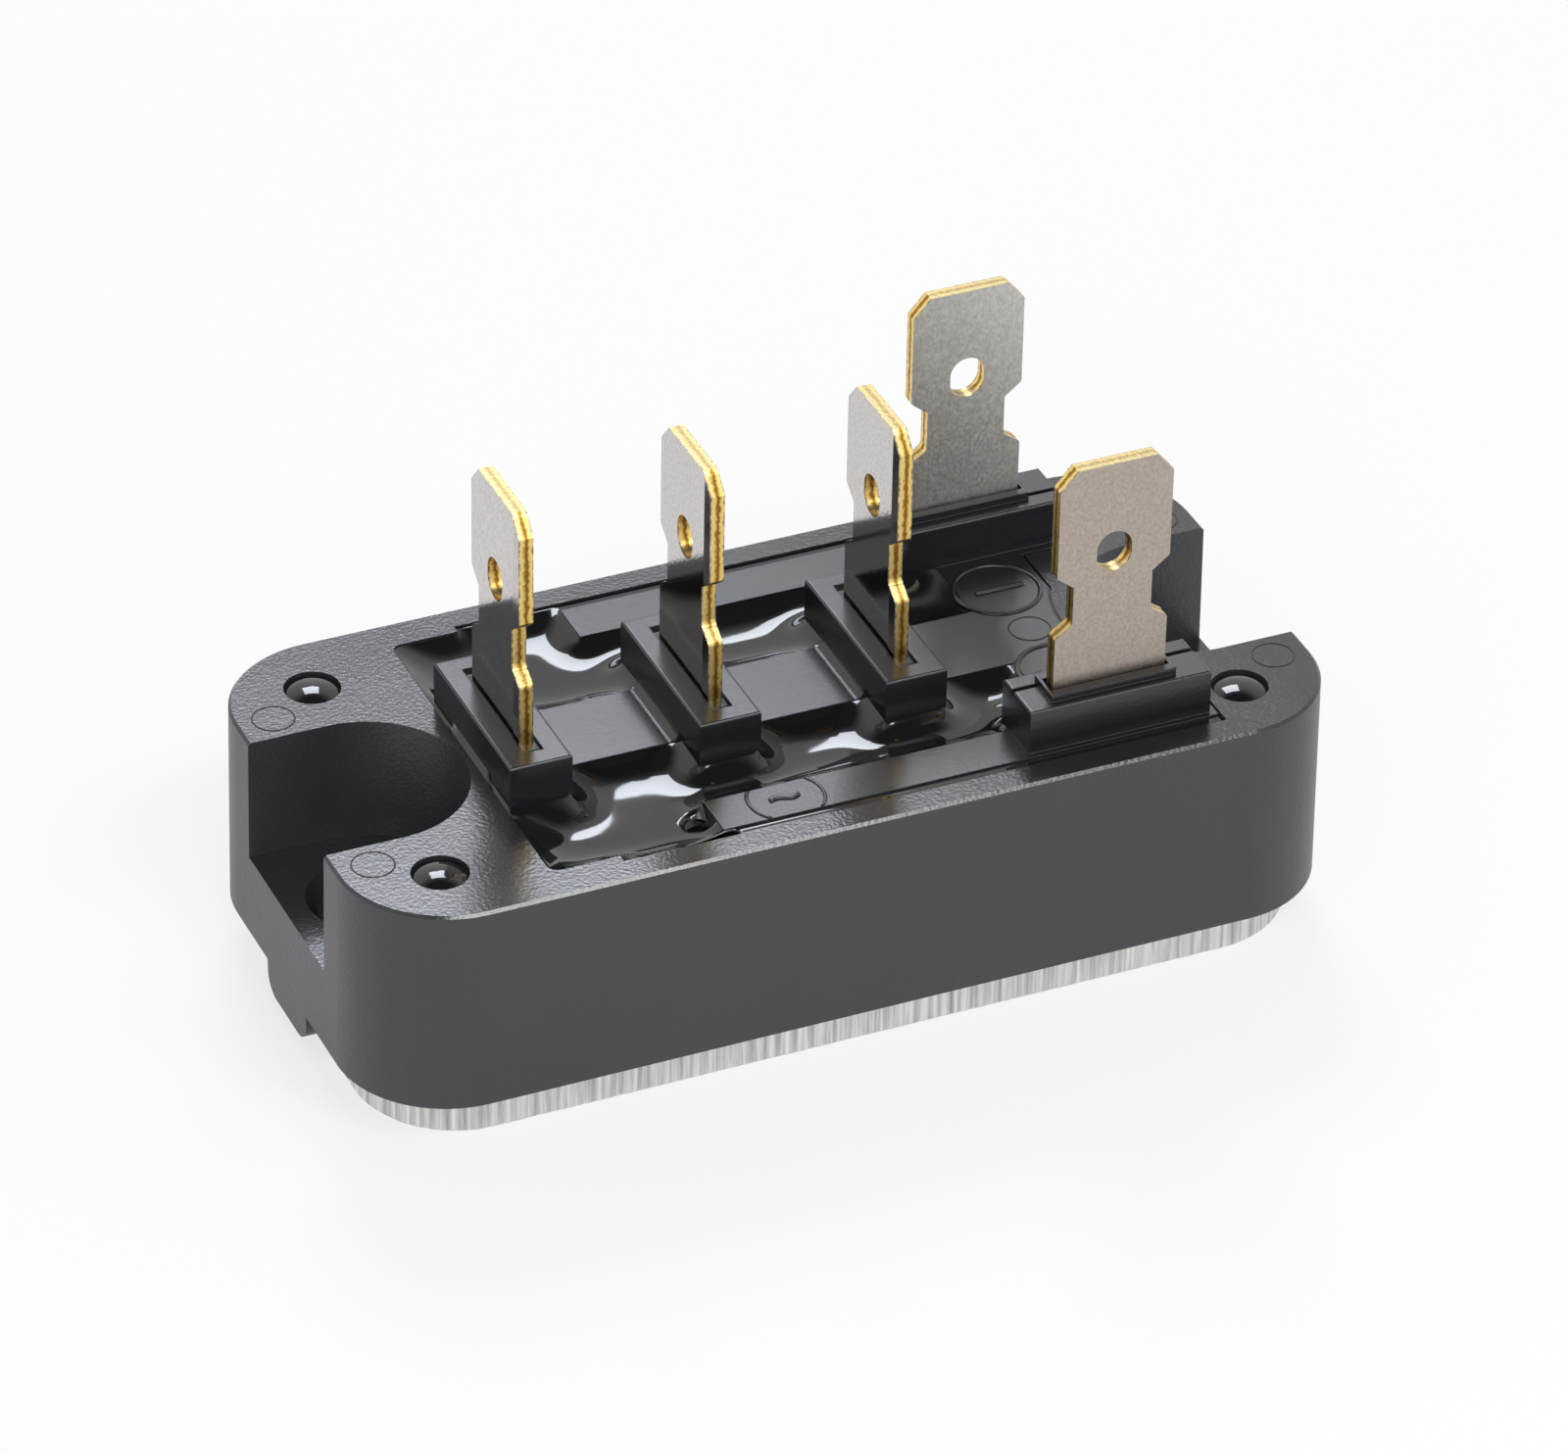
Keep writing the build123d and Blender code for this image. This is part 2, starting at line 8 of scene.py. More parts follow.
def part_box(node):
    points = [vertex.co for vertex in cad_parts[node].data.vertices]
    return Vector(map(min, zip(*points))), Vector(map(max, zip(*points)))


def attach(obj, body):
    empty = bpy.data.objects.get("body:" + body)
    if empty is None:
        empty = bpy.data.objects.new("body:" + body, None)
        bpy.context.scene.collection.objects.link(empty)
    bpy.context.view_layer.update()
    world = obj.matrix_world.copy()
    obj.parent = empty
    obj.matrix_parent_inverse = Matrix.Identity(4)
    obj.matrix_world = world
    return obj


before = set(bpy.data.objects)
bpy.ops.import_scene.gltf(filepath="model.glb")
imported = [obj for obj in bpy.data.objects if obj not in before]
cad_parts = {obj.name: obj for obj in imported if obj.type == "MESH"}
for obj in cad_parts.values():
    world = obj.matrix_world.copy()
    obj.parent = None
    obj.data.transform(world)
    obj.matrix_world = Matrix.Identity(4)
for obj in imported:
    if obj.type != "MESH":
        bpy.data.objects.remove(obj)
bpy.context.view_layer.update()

# ---- camera ------------------------------------------------------------------------
# A long lens looks down on the module from its front left corner, a touch rolled,
# from 45 centimetres away.
camera_place = Vector((-0.14992, -0.33482, 0.26091))
sight = Vector((0.33893, 0.75468, -0.56177)).normalized()
across = Vector((0.91665, -0.39934, 0.01657)).normalized()
upwards = (-sight).cross(across).normalized()
lens_data = bpy.data.cameras.new("camera")
lens_data.sensor_width = 36.0
lens_data.lens = 197.28
lens_data.clip_start = 0.01
lens_data.clip_end = 20.0
camera = bpy.data.objects.new("camera", lens_data)
camera.matrix_world = Matrix((
    (across.x, upwards.x, -sight.x, camera_place.x),
    (across.y, upwards.y, -sight.y, camera_place.y),
    (across.z, upwards.z, -sight.z, camera_place.z),
    (0.0, 0.0, 0.0, 1.0),
))
bpy.context.scene.collection.objects.link(camera)
bpy.context.scene.camera = camera
bpy.context.scene.view_settings.view_transform = "Standard"


# ---- floor and light ---------------------------------------------------------------
# The module stands on a plain white table in a white room. The room's ceiling is dark
# only where glossy pieces mirror it, and the light that falls on them stays plain. A
# bright soft box hangs behind, a strip in front, and a weak box at the front left.
def fresh_material(name):
    """A new node material, with its node tree, its shader and its output."""
    material = bpy.data.materials.new(name)
    material.use_nodes = True
    tree = material.node_tree
    return material, tree, tree.nodes["Principled BSDF"], tree.nodes["Material Output"]


def feed(tree, socket, term):
    """Links a node's input to another node's output, or sets it to a plain value."""
    if isinstance(term, bpy.types.NodeSocket):
        tree.links.new(term, socket)
    else:
        socket.default_value = term


def calculate(tree, operation, *terms):
    """The result of a sum on numbers and other nodes' outputs."""
    node = tree.nodes.new("ShaderNodeMath")
    node.operation = operation
    for socket, term in zip(node.inputs, terms):
        feed(tree, socket, term)
    return node.outputs[0]


def limit(tree, value, low, high, at_low=0.0, at_high=1.0):
    """Stretches a value from one range to another, and holds it at the ends."""
    node = tree.nodes.new("ShaderNodeMapRange")
    for socket, term in (("Value", value), ("From Min", low), ("From Max", high),
                         ("To Min", at_low), ("To Max", at_high)):
        feed(tree, node.inputs[socket], term)
    return node.outputs["Result"]


def blend(tree, data_type, factor, first, second):
    """Mixes two numbers or two colours by a factor."""
    node = tree.nodes.new("ShaderNodeMix")
    node.data_type = data_type
    first_socket, result = {"FLOAT": (2, 0), "RGBA": (6, 2)}[data_type]
    feed(tree, node.inputs["Factor"], factor)
    feed(tree, node.inputs[first_socket], first)
    feed(tree, node.inputs[first_socket + 1], second)
    return node.outputs[result]


def number_of(tree, vector, axis):
    """The X, Y or Z of a vector."""
    node = tree.nodes.new("ShaderNodeSeparateXYZ")
    tree.links.new(vector, node.inputs[0])
    return node.outputs[axis]


def seen_directly(tree):
    """1 for camera, glossy and transmitted rays, 0 for the light that falls on things."""
    ray = tree.nodes.new("ShaderNodeLightPath").outputs
    seen = calculate(tree, "MAXIMUM", ray["Is Camera Ray"], ray["Is Glossy Ray"])
    return calculate(tree, "MAXIMUM", seen, ray["Is Transmission Ray"])


floor_material, floor_tree, floor_shader, floor_out = fresh_material("white_table")
floor_shader.inputs["Base Color"].default_value = (0.92, 0.92, 0.92, 1.0)
floor_shader.inputs["Roughness"].default_value = 0.9
floor_glow = floor_tree.nodes.new("ShaderNodeEmission")
floor_glow.inputs["Color"].default_value = (1.0, 1.0, 1.0, 1.0)
floor_mix = floor_tree.nodes.new("ShaderNodeMixShader")
table_glow = 0.72
glow_share = calculate(floor_tree, "MULTIPLY", seen_directly(floor_tree), table_glow)
for socket, term in zip(floor_mix.inputs,
                        (glow_share, floor_shader.outputs[0], floor_glow.outputs[0])):
    floor_tree.links.new(term, socket)
floor_tree.links.new(floor_mix.outputs[0], floor_out.inputs["Surface"])

bpy.ops.object.select_all(action="DESELECT")
bpy.ops.mesh.primitive_plane_add(size=6.0, location=(0.0, 0.0, 0.0))
table = bpy.context.object
table.name = "table"
table.data.materials.append(floor_material)

world = bpy.data.worlds.new("white_room")
bpy.context.scene.world = world
world.use_nodes = True
room = world.node_tree
background = room.nodes["Background"]
background.inputs["Color"].default_value = (1.0, 1.0, 1.0, 1.0)
room_way = room.nodes.new("ShaderNodeTexCoord").outputs["Generated"]
falling_strength = 0.42
mirrored_strength = limit(
    room, number_of(room, room_way, "Z"), low=0.74, high=0.90, at_low=1.0, at_high=0.10)
feed(room, background.inputs["Strength"],
     blend(room, "FLOAT", seen_directly(room), falling_strength, mirrored_strength))


def soft_box(name, place, aim, width, height, power, colour=(1.0, 1.0, 1.0)):
    """A rectangular area lamp turned towards a point."""
    data = bpy.data.lights.new(name, "AREA")
    data.shape = "RECTANGLE"
    data.size = width
    data.size_y = height
    data.energy = power
    data.color = colour
    lamp = bpy.data.objects.new(name, data)
    lamp.location = place
    lamp.rotation_euler = (Vector(aim) - Vector(place)).to_track_quat("-Z", "Y").to_euler()
    bpy.context.scene.collection.objects.link(lamp)


soft_box("back_box", (0.106, 0.396, 0.453), (0.0, 0.0, 0.014),
         width=0.20, height=0.20, power=1.35, colour=(0.86, 0.91, 1.0))
soft_box("front_strip", (0.035, -0.298, 0.390), (0.0, -0.013, 0.014),
         width=0.30, height=0.09, power=0.95)
soft_box("front_box", (-0.35, -0.40, 0.35), (0.0, 0.0, 0.01),
         width=0.30, height=0.30, power=0.5)

# ---- moulded housing ---------------------------------------------------------------
# The shell is one injection moulding in glass-filled black thermoplastic, bonded to
# the plate. Its top is polished, its sides keep the fine grain of an eroded tool, and
# four ejector pins left a ring each beside the end notches.
MM = 0.001


def new_group(name, inputs, outputs):
    """A node group with its sockets, and the sockets' ends inside it."""
    group = bpy.data.node_groups.new(name, "ShaderNodeTree")
    for direction, sockets in (("INPUT", inputs), ("OUTPUT", outputs)):
        for socket, kind in sockets.items():
            group.interface.new_socket(
                socket, in_out=direction, socket_type=f"NodeSocket{kind}")
    inner_start = group.nodes.new("NodeGroupInput").outputs
    inner_end = group.nodes.new("NodeGroupOutput").inputs
    return group, inner_start, inner_end


def noise(tree, place, scale, detail, roughness=0.5):
    """Smooth noise read at a place."""
    node = tree.nodes.new("ShaderNodeTexNoise")
    for socket, term in (("Vector", place), ("Scale", scale), ("Detail", detail),
                         ("Roughness", roughness)):
        feed(tree, node.inputs[socket], term)
    return node.outputs["Fac"]


def scaled(tree, colour, factor):
    """A colour made lighter or darker by a factor."""
    node = tree.nodes.new("ShaderNodeVectorMath")
    node.operation = "SCALE"
    tree.links.new(colour, node.inputs[0])
    tree.links.new(factor, node.inputs["Scale"])
    return node.outputs["Vector"]


def bumped(tree, height, depth, under=None):
    """The normal of a relief of a given depth, laid over another one if there is one."""
    node = tree.nodes.new("ShaderNodeBump")
    node.inputs["Distance"].default_value = depth
    tree.links.new(height, node.inputs["Height"])
    if under:
        tree.links.new(under, node.inputs["Normal"])
    return node.outputs["Normal"]


grain, grain_in, grain_out = new_group(
    "mould_grain",
    {"Grain Scale": "Float", "Colour Spread": "Float", "Gloss Spread": "Float",
     "Tint": "Color", "Gloss": "Float", "Top Gloss": "Float"},
    {"Colour": "Color", "Roughness": "Float", "Height": "Float"})
grain_place = grain.nodes.new("ShaderNodeTexCoord").outputs
fine_grain = noise(grain, grain_place["Object"], grain_in["Grain Scale"], detail=4.0)
broad_grain = noise(grain, grain_place["Object"], scale=160.0, detail=3.0)
swing = calculate(grain, "SUBTRACT", broad_grain, 0.5)
# the polished top is calmer than the sides, and it is painted darker than them: painted
# shade that every upward face of each material using this group gets
top_painted_shade, top_calmer = 0.45, 0.6
top_side = limit(grain, number_of(grain, grain_place["Normal"], "Z"), low=0.52, high=0.68)
painted_top_shade_factor = calculate(grain, "MULTIPLY_ADD", top_side, -top_painted_shade, 1.0)
top_relief = calculate(grain, "MULTIPLY_ADD", top_side, -top_calmer, 1.0)
plain_gloss = blend(grain, "FLOAT", top_side, grain_in["Gloss"], grain_in["Top Gloss"])
mottle = calculate(grain, "MULTIPLY_ADD", swing, grain_in["Colour Spread"], 1.0)
# the colour is the tint, mottled, times the painted shade on upward faces
feed(grain, grain_out["Colour"],
     scaled(grain, scaled(grain, grain_in["Tint"], mottle), painted_top_shade_factor))
feed(grain, grain_out["Roughness"],
     calculate(grain, "MULTIPLY_ADD", swing, grain_in["Gloss Spread"], plain_gloss))
feed(grain, grain_out["Height"], calculate(grain, "MULTIPLY", fine_grain, top_relief))


def grained_material(name, tint, gloss, scale, colour_spread, gloss_spread, relief,
                     metallic=0.0, top_gloss=None, soft_edge=0.0, ior=1.5):
    """A shader fed by the grain group, with the grain as a fine relief."""
    material, tree, shader, _ = fresh_material(name)
    group = tree.nodes.new("ShaderNodeGroup")
    group.node_tree = grain
    for socket, value in (
            ("Tint", (*tint, 1.0)), ("Gloss", gloss),
            ("Top Gloss", gloss if top_gloss is None else top_gloss),
            ("Grain Scale", scale), ("Colour Spread", colour_spread),
            ("Gloss Spread", gloss_spread)):
        group.inputs[socket].default_value = value
    rounded = None
    if soft_edge:
        edge = tree.nodes.new("ShaderNodeBevel")
        edge.samples = 6
        edge.inputs["Radius"].default_value = soft_edge
        rounded = edge.outputs["Normal"]
    tree.links.new(group.outputs["Colour"], shader.inputs["Base Color"])
    tree.links.new(group.outputs["Roughness"], shader.inputs["Roughness"])
    tree.links.new(bumped(tree, group.outputs["Height"], relief, rounded),
                   shader.inputs["Normal"])
    shader.inputs["Metallic"].default_value = metallic
    shader.inputs["IOR"].default_value = ior
    return material


def dress(node, material):
    """Puts one material on a carried-over piece."""
    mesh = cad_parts[node].data
    if not mesh.materials:
        mesh.materials.append(material)
    for index in range(len(mesh.materials)):
        mesh.materials[index] = material


# The housing's top comes out darker than its sides through the grain group's painted shade
# on upward faces.
housing_plastic = grained_material(
    "housing_plastic", (0.028, 0.0284, 0.0345), gloss=0.40, top_gloss=0.18, scale=4600.0,
    colour_spread=0.35, gloss_spread=0.10, relief=0.030 * MM, ior=1.6)
dress("housing", housing_plastic)
# The ejector rings are painted near black, far darker than the plastic round them: painted
# shade in their thin lines.
ejector_ring_painted_shade = grained_material(
    "ejector_ring_painted_shade", (0.004, 0.004, 0.005), gloss=0.45, scale=5200.0,
    colour_spread=0.30, gloss_spread=0.10, relief=0.010 * MM)
moulded_top = 14.3 * MM


def raised_ring(name, x, y, radius, line, material):
    """A round-backed ring moulded on the flat top of the shell or the carrier."""
    bpy.ops.object.select_all(action="DESELECT")
    bpy.ops.mesh.primitive_torus_add(
        location=(x, y, moulded_top), major_segments=72, minor_segments=10,
        major_radius=radius, minor_radius=line)
    piece = bpy.context.object
    piece.name = name
    bpy.ops.object.transform_apply(location=True, rotation=True, scale=True)
    bpy.ops.object.mode_set(mode="EDIT")
    bpy.ops.mesh.select_all(action="SELECT")
    bpy.ops.transform.resize(value=(1.0, 1.0, 0.8), center_override=(x, y, moulded_top))
    bpy.ops.object.mode_set(mode="OBJECT")
    bpy.ops.object.shade_smooth()
    piece.data.materials.append(material)
    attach(piece, "root")
    return piece


pin_x, pin_y = 25.0 * MM, 7.0 * MM
pin_radius, pin_line = 1.1 * MM, 0.045 * MM
for end, x in (("left", -pin_x), ("right", pin_x)):
    for side, y in (("front", -pin_y), ("back", pin_y)):
        raised_ring(f"ejector_mark_{end}_{side}", x, y, pin_radius, pin_line,
                    ejector_ring_painted_shade)


# ---- base plate --------------------------------------------------------------------
# Rolled aluminium, sheared to its outline: the flat faces are smooth, and the edge
# keeps the upright scratches of the shear.
def stretched(tree, place, scale):
    """A place measured with a scale of its own along each axis."""
    node = tree.nodes.new("ShaderNodeMapping")
    node.inputs["Scale"].default_value = scale
    tree.links.new(place, node.inputs["Vector"])
    return node.outputs["Vector"]


plate_metal, plate_tree, plate_shader, _ = fresh_material("sheared_aluminium")
plate_place = plate_tree.nodes.new("ShaderNodeTexCoord").outputs["Object"]
upright = (2600.0, 2600.0, 90.0)
scratches = noise(plate_tree, stretched(plate_tree, plate_place, upright),
                  scale=1.0, detail=5.0, roughness=0.65)
plate_colour = plate_tree.nodes.new("ShaderNodeValToRGB")
for stop, position, colour in zip(plate_colour.color_ramp.elements, (0.30, 0.62),
                                  ((0.30, 0.30, 0.30, 1.0), (0.80, 0.80, 0.79, 1.0))):
    stop.position = position
    stop.color = colour
plate_tree.links.new(scratches, plate_colour.inputs["Fac"])
plate_tree.links.new(plate_colour.outputs["Color"], plate_shader.inputs["Base Color"])
plate_tree.links.new(bumped(plate_tree, scratches, 0.06 * MM), plate_shader.inputs["Normal"])
plate_shader.inputs["Metallic"].default_value = 1.0
plate_shader.inputs["Roughness"].default_value = 0.42
dress("base_plate", plate_metal)

# ---- terminal carrier --------------------------------------------------------------
# A second black moulding drops into the housing's rebate and holds the five blades
# upright. It is the same plastic from a polished tool, with one ejector ring.
carrier_plastic = grained_material(
    "carrier_plastic", (0.013, 0.0133, 0.0175), gloss=0.24, top_gloss=0.26, scale=5200.0,
    colour_spread=0.30, gloss_spread=0.08, relief=0.011 * MM, soft_edge=0.08 * MM, ior=1.6)
dress("terminal_carrier", carrier_plastic)
raised_ring("ejector_mark_carrier", 14.35 * MM, 0.0, pin_radius, pin_line,
            ejector_ring_painted_shade)

# ---- slot beads --------------------------------------------------------------------
# Each slot in the three long pedestals is sealed round its blade by a bead of filled
# resin, as dull as the moulding, that set a sixth of a millimetre under its top.
half_blade = 0.4 * MM
collar_rise = 0.4 * MM
bead_width, bead_length, bead_height = 1.20 * MM, 7.65 * MM, 0.50 * MM
bead_middle_depth = 0.42 * MM
pedestal_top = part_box("terminal_carrier")[1][2] - collar_rise
blade_xs = [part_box(f"terminal_ac_{number}")[0][0] + half_blade for number in (1, 2, 3)]
for number, blade_x in enumerate(blade_xs, start=1):
    bpy.ops.object.select_all(action="DESELECT")
    bpy.ops.mesh.primitive_cube_add(
        location=(blade_x, 0.0, pedestal_top - bead_middle_depth), size=1.0)
    bead = bpy.context.object
    bead.name = f"slot_bead_{number}"
    bead.scale = (bead_width, bead_length, bead_height)
    bpy.ops.object.transform_apply(location=True, rotation=True, scale=True)
    bpy.ops.object.mode_set(mode="EDIT")
    bpy.ops.mesh.select_all(action="SELECT")
    bpy.ops.mesh.bevel(offset=0.08 * MM, segments=3, affect="EDGES")
    bpy.ops.object.mode_set(mode="OBJECT")
    bpy.ops.object.shade_smooth()
    bead.data.materials.append(carrier_plastic)
    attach(bead, "root")


# ---- polarity marks ----------------------------------------------------------------
# A ringed minus and a ringed plus stand a tenth of a millimetre proud of the platform,
# beside the blades they name, cut into the tool as round-backed lines.
def raised_bar(name, x, y, length, across):
    """A straight moulded line with rounded ends, along X or along Y."""
    width, height = 0.34 * MM, 0.26 * MM
    bpy.ops.object.select_all(action="DESELECT")
    bpy.ops.mesh.primitive_cube_add(location=(x, y, moulded_top), size=1.0)
    piece = bpy.context.object
    piece.name = name
    piece.scale = (width, length, height) if across else (length, width, height)
    bpy.ops.object.transform_apply(location=True, rotation=True, scale=True)
    bpy.ops.object.mode_set(mode="EDIT")
    bpy.ops.mesh.select_all(action="SELECT")
    bpy.ops.mesh.bevel(offset=0.10 * MM, segments=3, affect="EDGES")
    bpy.ops.object.mode_set(mode="OBJECT")
    bpy.ops.object.shade_smooth()
    piece.data.materials.append(carrier_plastic)
    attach(piece, "root")
    return piece


mark_x, mark_y, bar_length = 14.3 * MM, 4.0 * MM, 2.8 * MM
ring_radius, ring_line = 2.3 * MM, 0.14 * MM
for name, ring_y in (("minus_ring", mark_y), ("plus_ring", -mark_y)):
    raised_ring(name, mark_x, ring_y, ring_radius, ring_line, carrier_plastic)
raised_bar("minus_bar", 14.45 * MM, mark_y, bar_length, across=False)
raised_bar("plus_bar", mark_x, -mark_y, bar_length, across=False)
raised_bar("plus_upright", mark_x, -mark_y, bar_length, across=True)


# ---- input mark --------------------------------------------------------------------
# The front arm names the alternating inputs with a short wave in a ring, moulded like
# the other marks. The arm's two long edges cut the ring off.
def pick_vertices(piece, chosen):
    """Selects the vertices whose place passes a test, in edit mode."""
    shape = bmesh.from_edit_mesh(piece.data)
    shape.select_mode = {"VERT"}
    for vertex in shape.verts:
        vertex.select = bool(chosen(vertex.co.x, vertex.co.y))
    shape.select_flush_mode()
    bmesh.update_edit_mesh(piece.data)


same_place = 0.000001 * MM
wave_x, wave_y = -3.65 * MM, -9.35 * MM
arm_front, arm_back = -10.72 * MM, -8.18 * MM
raised_ring("ac_ring", wave_x + 0.08 * MM, wave_y, 2.0 * MM, 0.10 * MM,
            carrier_plastic)
bpy.ops.object.mode_set(mode="EDIT")
for edge_y, outward in ((arm_front, -1.0), (arm_back, 1.0)):
    bpy.ops.mesh.select_all(action="SELECT")
    bpy.ops.mesh.bisect(
        plane_co=(wave_x, edge_y, moulded_top), plane_no=(0.0, outward, 0.0),
        clear_outer=True, threshold=same_place)
bpy.ops.mesh.select_all(action="SELECT")
bpy.ops.mesh.fill_holes(sides=0)
bpy.ops.mesh.select_all(action="SELECT")
bpy.ops.mesh.normals_make_consistent(inside=False)
bpy.ops.object.mode_set(mode="OBJECT")

wave = raised_bar("ac_wave", wave_x, wave_y, 1.7 * MM, across=False)
wave_pitch, wave_height, half_steps = 0.13 * MM, 0.11 * MM, 6
bpy.ops.object.mode_set(mode="EDIT")
for step in range(1 - half_steps, half_steps):
    bpy.ops.mesh.select_all(action="SELECT")
    bpy.ops.mesh.bisect(
        plane_co=(wave_x + step * wave_pitch, wave_y, moulded_top),
        plane_no=(1.0, 0.0, 0.0), threshold=same_place)
for step in range(-half_steps, half_steps + 1):
    column_x = wave_x + step * wave_pitch
    pick_vertices(wave, lambda x, y: abs(x - column_x) < wave_pitch / 2)
    lift = wave_height * math.sin(-step / half_steps * math.pi)
    bpy.ops.transform.translate(value=(0.0, lift, 0.0))
bpy.ops.object.mode_set(mode="OBJECT")

# ---- corner bonds ------------------------------------------------------------------
# Black casting resin poured down the four corner bores stands as a small glossy dome
# in each mouth. The same resin fills the housing round the carrier.
cast_resin = grained_material(
    "cast_resin", (0.008, 0.008, 0.009), gloss=0.06, scale=900.0,
    colour_spread=0.20, gloss_spread=0.05, relief=0.004 * MM, ior=1.58)
dress("corner_resin_plugs", cast_resin)
dress("potting_resin", cast_resin)

# ---- resin surface -----------------------------------------------------------------
# The potting resin set with a skin that creeps up every wall it wets and sags between
# them, so each bay between the pedestals is a shallow glossy bowl. One bubble burst
# beside the free end of the front arm.
resin_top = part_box("potting_resin")[1][2]


def inside(x, y, x0, x1, y0, y1):
    """Whether a point lies on a rectangle given in millimetres."""
    return x0 * MM <= x <= x1 * MM and y0 * MM <= y <= y1 * MM


def on_pedestal(x, y):
    """Over one of the three long pedestals."""
    return any(abs(x - blade_x) < 1.68 * MM for blade_x in blade_xs) and abs(y) < 5.18 * MM


def on_carrier(x, y):
    """Over the carrier's web, platform, arms or output blocks."""
    web = inside(x, y, -15.2, 12.3, -2.58, 2.58)
    platform = inside(x, y, 12.27, 17.2, -10.8, 10.8)
    arm = inside(x, abs(y), -7.58, 12.3, 8.12, 10.78)
    block = inside(x, abs(y), 9.47, 20.0, 7.12, 10.48)
    return web or platform or arm or block


def in_gap(x, y):
    """In the narrow gaps between the arms and the housing."""
    return inside(x, abs(y), -7.58, 20.2, 10.78, 12.0)


def on_housing(x, y):
    """Over the housing's end walls, corners, round notch walls or long sides."""
    end = x < -17.0 * MM or x > 17.0 * MM
    corner = x < -13.3 * MM and abs(y) > 10.9 * MM
    notch_wall = math.hypot(abs(x) - 22.7 * MM, y) < 6.44 * MM
    return end or corner or notch_wall or abs(y) > 11.4 * MM


def from_bubble(x, y):
    """The distance from the middle of the burst bubble."""
    return math.hypot(x + 8.0 * MM, y + 9.0 * MM)


skin_length, skin_width, skin_thickness = 37.3 * MM, 22.85 * MM, 0.2 * MM
carrier_creep, pedestal_creep = 0.80 * MM, 1.05 * MM
gap_creep, housing_creep = 0.70 * MM, 0.76 * MM
crater_radius, crater_depth, crater_lip = 0.70 * MM, 0.95 * MM, 0.95 * MM
bpy.ops.object.select_all(action="DESELECT")
bpy.ops.mesh.primitive_grid_add(
    x_subdivisions=196, y_subdivisions=120, size=1.0,
    location=(1.45 * MM, 0.0, resin_top + 0.02 * MM))
resin_skin = bpy.context.object
resin_skin.name = "resin_surface"
resin_skin.scale = (skin_length, skin_width, 1.0)
bpy.ops.object.transform_apply(location=True, rotation=True, scale=True)
bpy.ops.object.mode_set(mode="EDIT")
bpy.context.tool_settings.mesh_select_mode = (True, False, False)
# pinned just under the top edges of the carrier and the housing, higher on pedestals,
# and level in the narrow gaps beside the arms
for creep, chosen in (
        (carrier_creep, lambda x, y: on_carrier(x, y) and not on_pedestal(x, y)),
        (pedestal_creep, on_pedestal),
        (gap_creep, lambda x, y: in_gap(x, y) and not on_carrier(x, y)),
        (housing_creep,
         lambda x, y: on_housing(x, y) and not (on_carrier(x, y) or in_gap(x, y)))):
    pick_vertices(resin_skin, chosen)
    bpy.ops.transform.translate(value=(0.0, 0.0, creep))
pick_vertices(resin_skin, lambda x, y: not (
    on_carrier(x, y) or on_pedestal(x, y) or on_housing(x, y) or in_gap(x, y)))
bpy.ops.mesh.vertices_smooth(factor=0.5, repeat=130, xaxis=False, yaxis=False, zaxis=True)
pick_vertices(resin_skin, lambda x, y: from_bubble(x, y) < crater_radius)
bpy.ops.transform.translate(value=(0.0, 0.0, -crater_depth))
pick_vertices(resin_skin, lambda x, y: from_bubble(x, y) < crater_lip)
bpy.ops.mesh.vertices_smooth(factor=0.5, repeat=6, xaxis=False, yaxis=False, zaxis=True)
# open at the right end's notch wall and where the gap by the bubble stayed dry
pick_vertices(resin_skin, lambda x, y: x > 17.1 * MM and abs(y) < 6.6 * MM
              or inside(x, y, -9.6, -7.0, -11.5, -10.95))
bpy.ops.mesh.delete(type="VERT")
bpy.ops.mesh.select_all(action="SELECT")
bpy.ops.mesh.extrude_region_move(
    TRANSFORM_OT_translate={"value": (0.0, 0.0, -skin_thickness)})
bpy.ops.mesh.select_all(action="SELECT")
bpy.ops.mesh.normals_make_consistent(inside=False)
bpy.ops.object.mode_set(mode="OBJECT")
resin_skin.data.materials.append(cast_resin)
bpy.ops.object.shade_smooth()
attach(resin_skin, "root")


# ---- push-on blades ----------------------------------------------------------------
# Stamped brass, tinned as strip before the press: the flat faces are grey and faintly
# mottled. The sheared edges show bare brass, darker along the middle where the strip
# tore, between two rounded lines of dragged tin.
def dot(tree, first, second):
    """How far one vector reaches along another."""
    node = tree.nodes.new("ShaderNodeVectorMath")
    node.operation = "DOT_PRODUCT"
    tree.links.new(first, node.inputs[0])
    tree.links.new(second, node.inputs[1])
    return node.outputs["Value"]


edge_group, edge_in, edge_out = new_group(
    "sheared_edge", {"Face Axis": "Vector", "Middle": "Float"},
    {"Face": "Float", "Through": "Float"})
edge_place = edge_group.nodes.new("ShaderNodeTexCoord").outputs
face_turn = dot(edge_group, edge_place["Normal"], edge_in["Face Axis"])
strip_depth = dot(edge_group, edge_place["Object"], edge_in["Face Axis"])
nearly_flat = 0.9
feed(edge_group, edge_out["Face"], calculate(
    edge_group, "GREATER_THAN", calculate(edge_group, "ABSOLUTE", face_turn), nearly_flat))
feed(edge_group, edge_out["Through"], limit(
    edge_group, calculate(edge_group, "SUBTRACT", strip_depth, edge_in["Middle"]),
    -half_blade, half_blade))

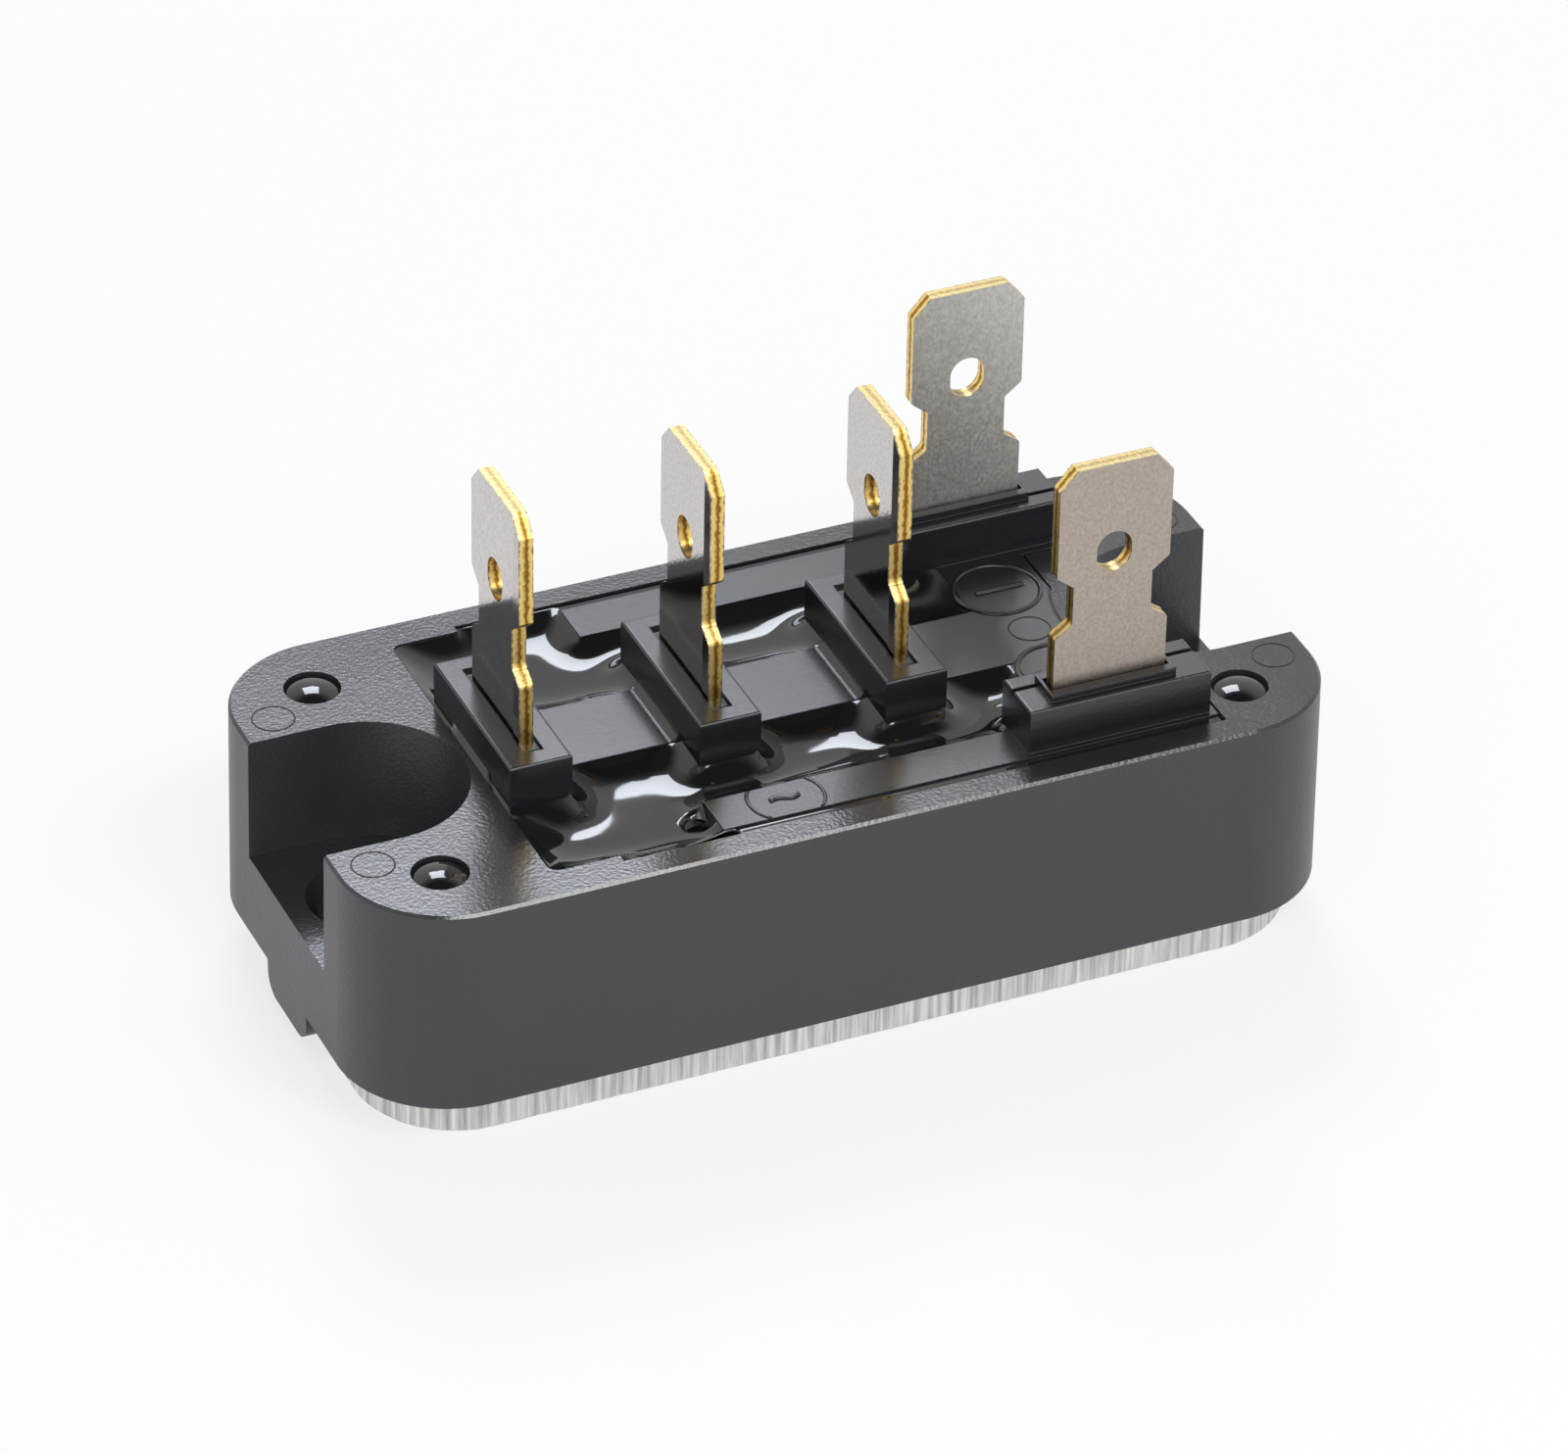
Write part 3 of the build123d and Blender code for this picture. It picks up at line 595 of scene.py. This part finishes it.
# the colours of a sheared edge, from one face of the strip through to the other
edge_colours = (
    (0.0, (0.26, 0.19, 0.09)), (0.14, (0.86, 0.69, 0.34)), (0.32, (0.84, 0.60, 0.19)),
    (0.46, (0.32, 0.17, 0.03)), (0.60, (0.24, 0.12, 0.02)), (0.72, (0.86, 0.58, 0.15)),
    (0.88, (0.90, 0.70, 0.30)), (1.0, (0.28, 0.20, 0.10)))
# The upward cut ends at the blade tips are painted a darker, duller brass: painted shade
# that tones down the light they catch.
tip_painted_shade_colour = (0.27, 0.225, 0.12, 1.0)
tear_spread = 0.42
edge_gloss = 0.38
tin_darkest, tin_palest, tin_relief = 0.58, 1.36, 0.22
cloud_scale = (6500.0, 6500.0, 4800.0)


def blade_material(name, axis, middle, tin, gloss, rolled=None, roll_slope=0.0):
    """Tinned faces, bare brass edges, and a face that rolls over at one long edge."""
    material, tree, shader, _ = fresh_material(name)
    mask = tree.nodes.new("ShaderNodeGroup")
    mask.node_tree = edge_group
    mask.inputs["Face Axis"].default_value = axis
    mask.inputs["Middle"].default_value = middle
    on_face = mask.outputs["Face"]
    place = tree.nodes.new("ShaderNodeTexCoord").outputs
    clouding = noise(tree, stretched(tree, place["Object"], cloud_scale),
                     scale=1.0, detail=6.0)
    tearing = noise(tree, place["Object"], scale=3600.0, detail=3.0)

    tinned = blend(tree, "RGBA", clouding,
                   (*[part * tin_darkest for part in tin], 1.0),
                   (*[part * tin_palest for part in tin], 1.0))
    through = calculate(tree, "SUBTRACT", mask.outputs["Through"], tear_spread / 2)
    band = tree.nodes.new("ShaderNodeValToRGB")
    stops = band.color_ramp.elements
    for stop, (position, colour) in zip(stops, (edge_colours[0], edge_colours[-1])):
        stop.position = position
        stop.color = (*colour, 1.0)
    for position, colour in edge_colours[1:-1]:
        stops.new(position).color = (*colour, 1.0)
    feed(tree, band.inputs["Fac"],
         calculate(tree, "MULTIPLY_ADD", tearing, tear_spread, through))
    # painted shade: edge faces that tilt upward, the cut ends at the tips, are blended
    # towards the darker colour
    tip_painted_shade = limit(tree, number_of(tree, place["Normal"], "Z"),
                    low=0.75, high=0.92, at_low=0.0, at_high=0.75)
    brass = blend(tree, "RGBA", tip_painted_shade, band.outputs["Color"], tip_painted_shade_colour)
    feed(tree, shader.inputs["Base Color"], blend(tree, "RGBA", on_face, brass, tinned))

    face_gloss = limit(tree, clouding, low=0.0, high=1.0,
                       at_low=gloss * 0.8, at_high=gloss * 1.2)
    feed(tree, shader.inputs["Roughness"],
         blend(tree, "FLOAT", on_face, edge_gloss, face_gloss))

    rolled_over = None
    if rolled:
        along_y = number_of(tree, place["Object"], "Y")
        rolled_over = bumped(tree, limit(tree, along_y, *rolled),
                             (rolled[1] - rolled[0]) * roll_slope)
    height = blend(tree, "FLOAT", on_face, tearing,
                   calculate(tree, "MULTIPLY", clouding, tin_relief))
    feed(tree, shader.inputs["Normal"], bumped(tree, height, 0.014 * MM, rolled_over))
    shader.inputs["Metallic"].default_value = 1.0
    return material


front_roll = (-3.15 * MM, -2.40 * MM)
for number, roll_slope in ((1, 0.15), (2, 0.27), (3, 0.27)):
    dress(f"terminal_ac_{number}", blade_material(
        f"ac_blade_{number}_metal", (1.0, 0.0, 0.0), blade_xs[number - 1],
        (0.545, 0.52, 0.505), gloss=0.08, rolled=front_roll, roll_slope=roll_slope))
# Both DC blades are the same tinned strip. The plus blade's tin is painted darker and
# browner and the minus blade's paler: painted shade on the plus blade, painted light on the
# minus blade.
for name, tin in (("terminal_dc_plus", (0.46, 0.40, 0.345)),
                  ("terminal_dc_minus", (0.66, 0.645, 0.60))):
    dc_low, dc_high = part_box(name)
    dc_middle = dc_low[1] + half_blade if dc_low[1] < 0.0 else dc_high[1] - half_blade
    dress(name, blade_material(f"{name}_metal", (0.0, 1.0, 0.0), dc_middle, tin, gloss=0.48))

# ---- electrical stack under the resin ----------------------------------------------
# Fired alumina carries bonded copper, six silicon chips and copper clips, all under a
# clear soft gel that nobody sees once the resin is poured.
ceramic = grained_material(
    "fired_alumina", (0.86, 0.85, 0.82), gloss=0.55, scale=9000.0,
    colour_spread=0.06, gloss_spread=0.05, relief=0.002 * MM)
copper = grained_material(
    "bonded_copper", (0.82, 0.42, 0.27), gloss=0.30, scale=4000.0,
    colour_spread=0.20, gloss_spread=0.10, relief=0.003 * MM, metallic=1.0)
silicon = grained_material(
    "metallised_silicon", (0.30, 0.31, 0.34), gloss=0.22, scale=3000.0,
    colour_spread=0.15, gloss_spread=0.05, relief=0.001 * MM, metallic=1.0)
gel = grained_material(
    "silicone_gel", (0.55, 0.55, 0.53), gloss=0.12, scale=700.0,
    colour_spread=0.08, gloss_spread=0.04, relief=0.004 * MM)
dress("insulating_substrate", ceramic)
dress("silicone_gel", gel)
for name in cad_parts:
    if name.startswith(("pad_", "clip_")):
        dress(name, copper)
    if name.startswith("diode_"):
        dress(name, silicon)
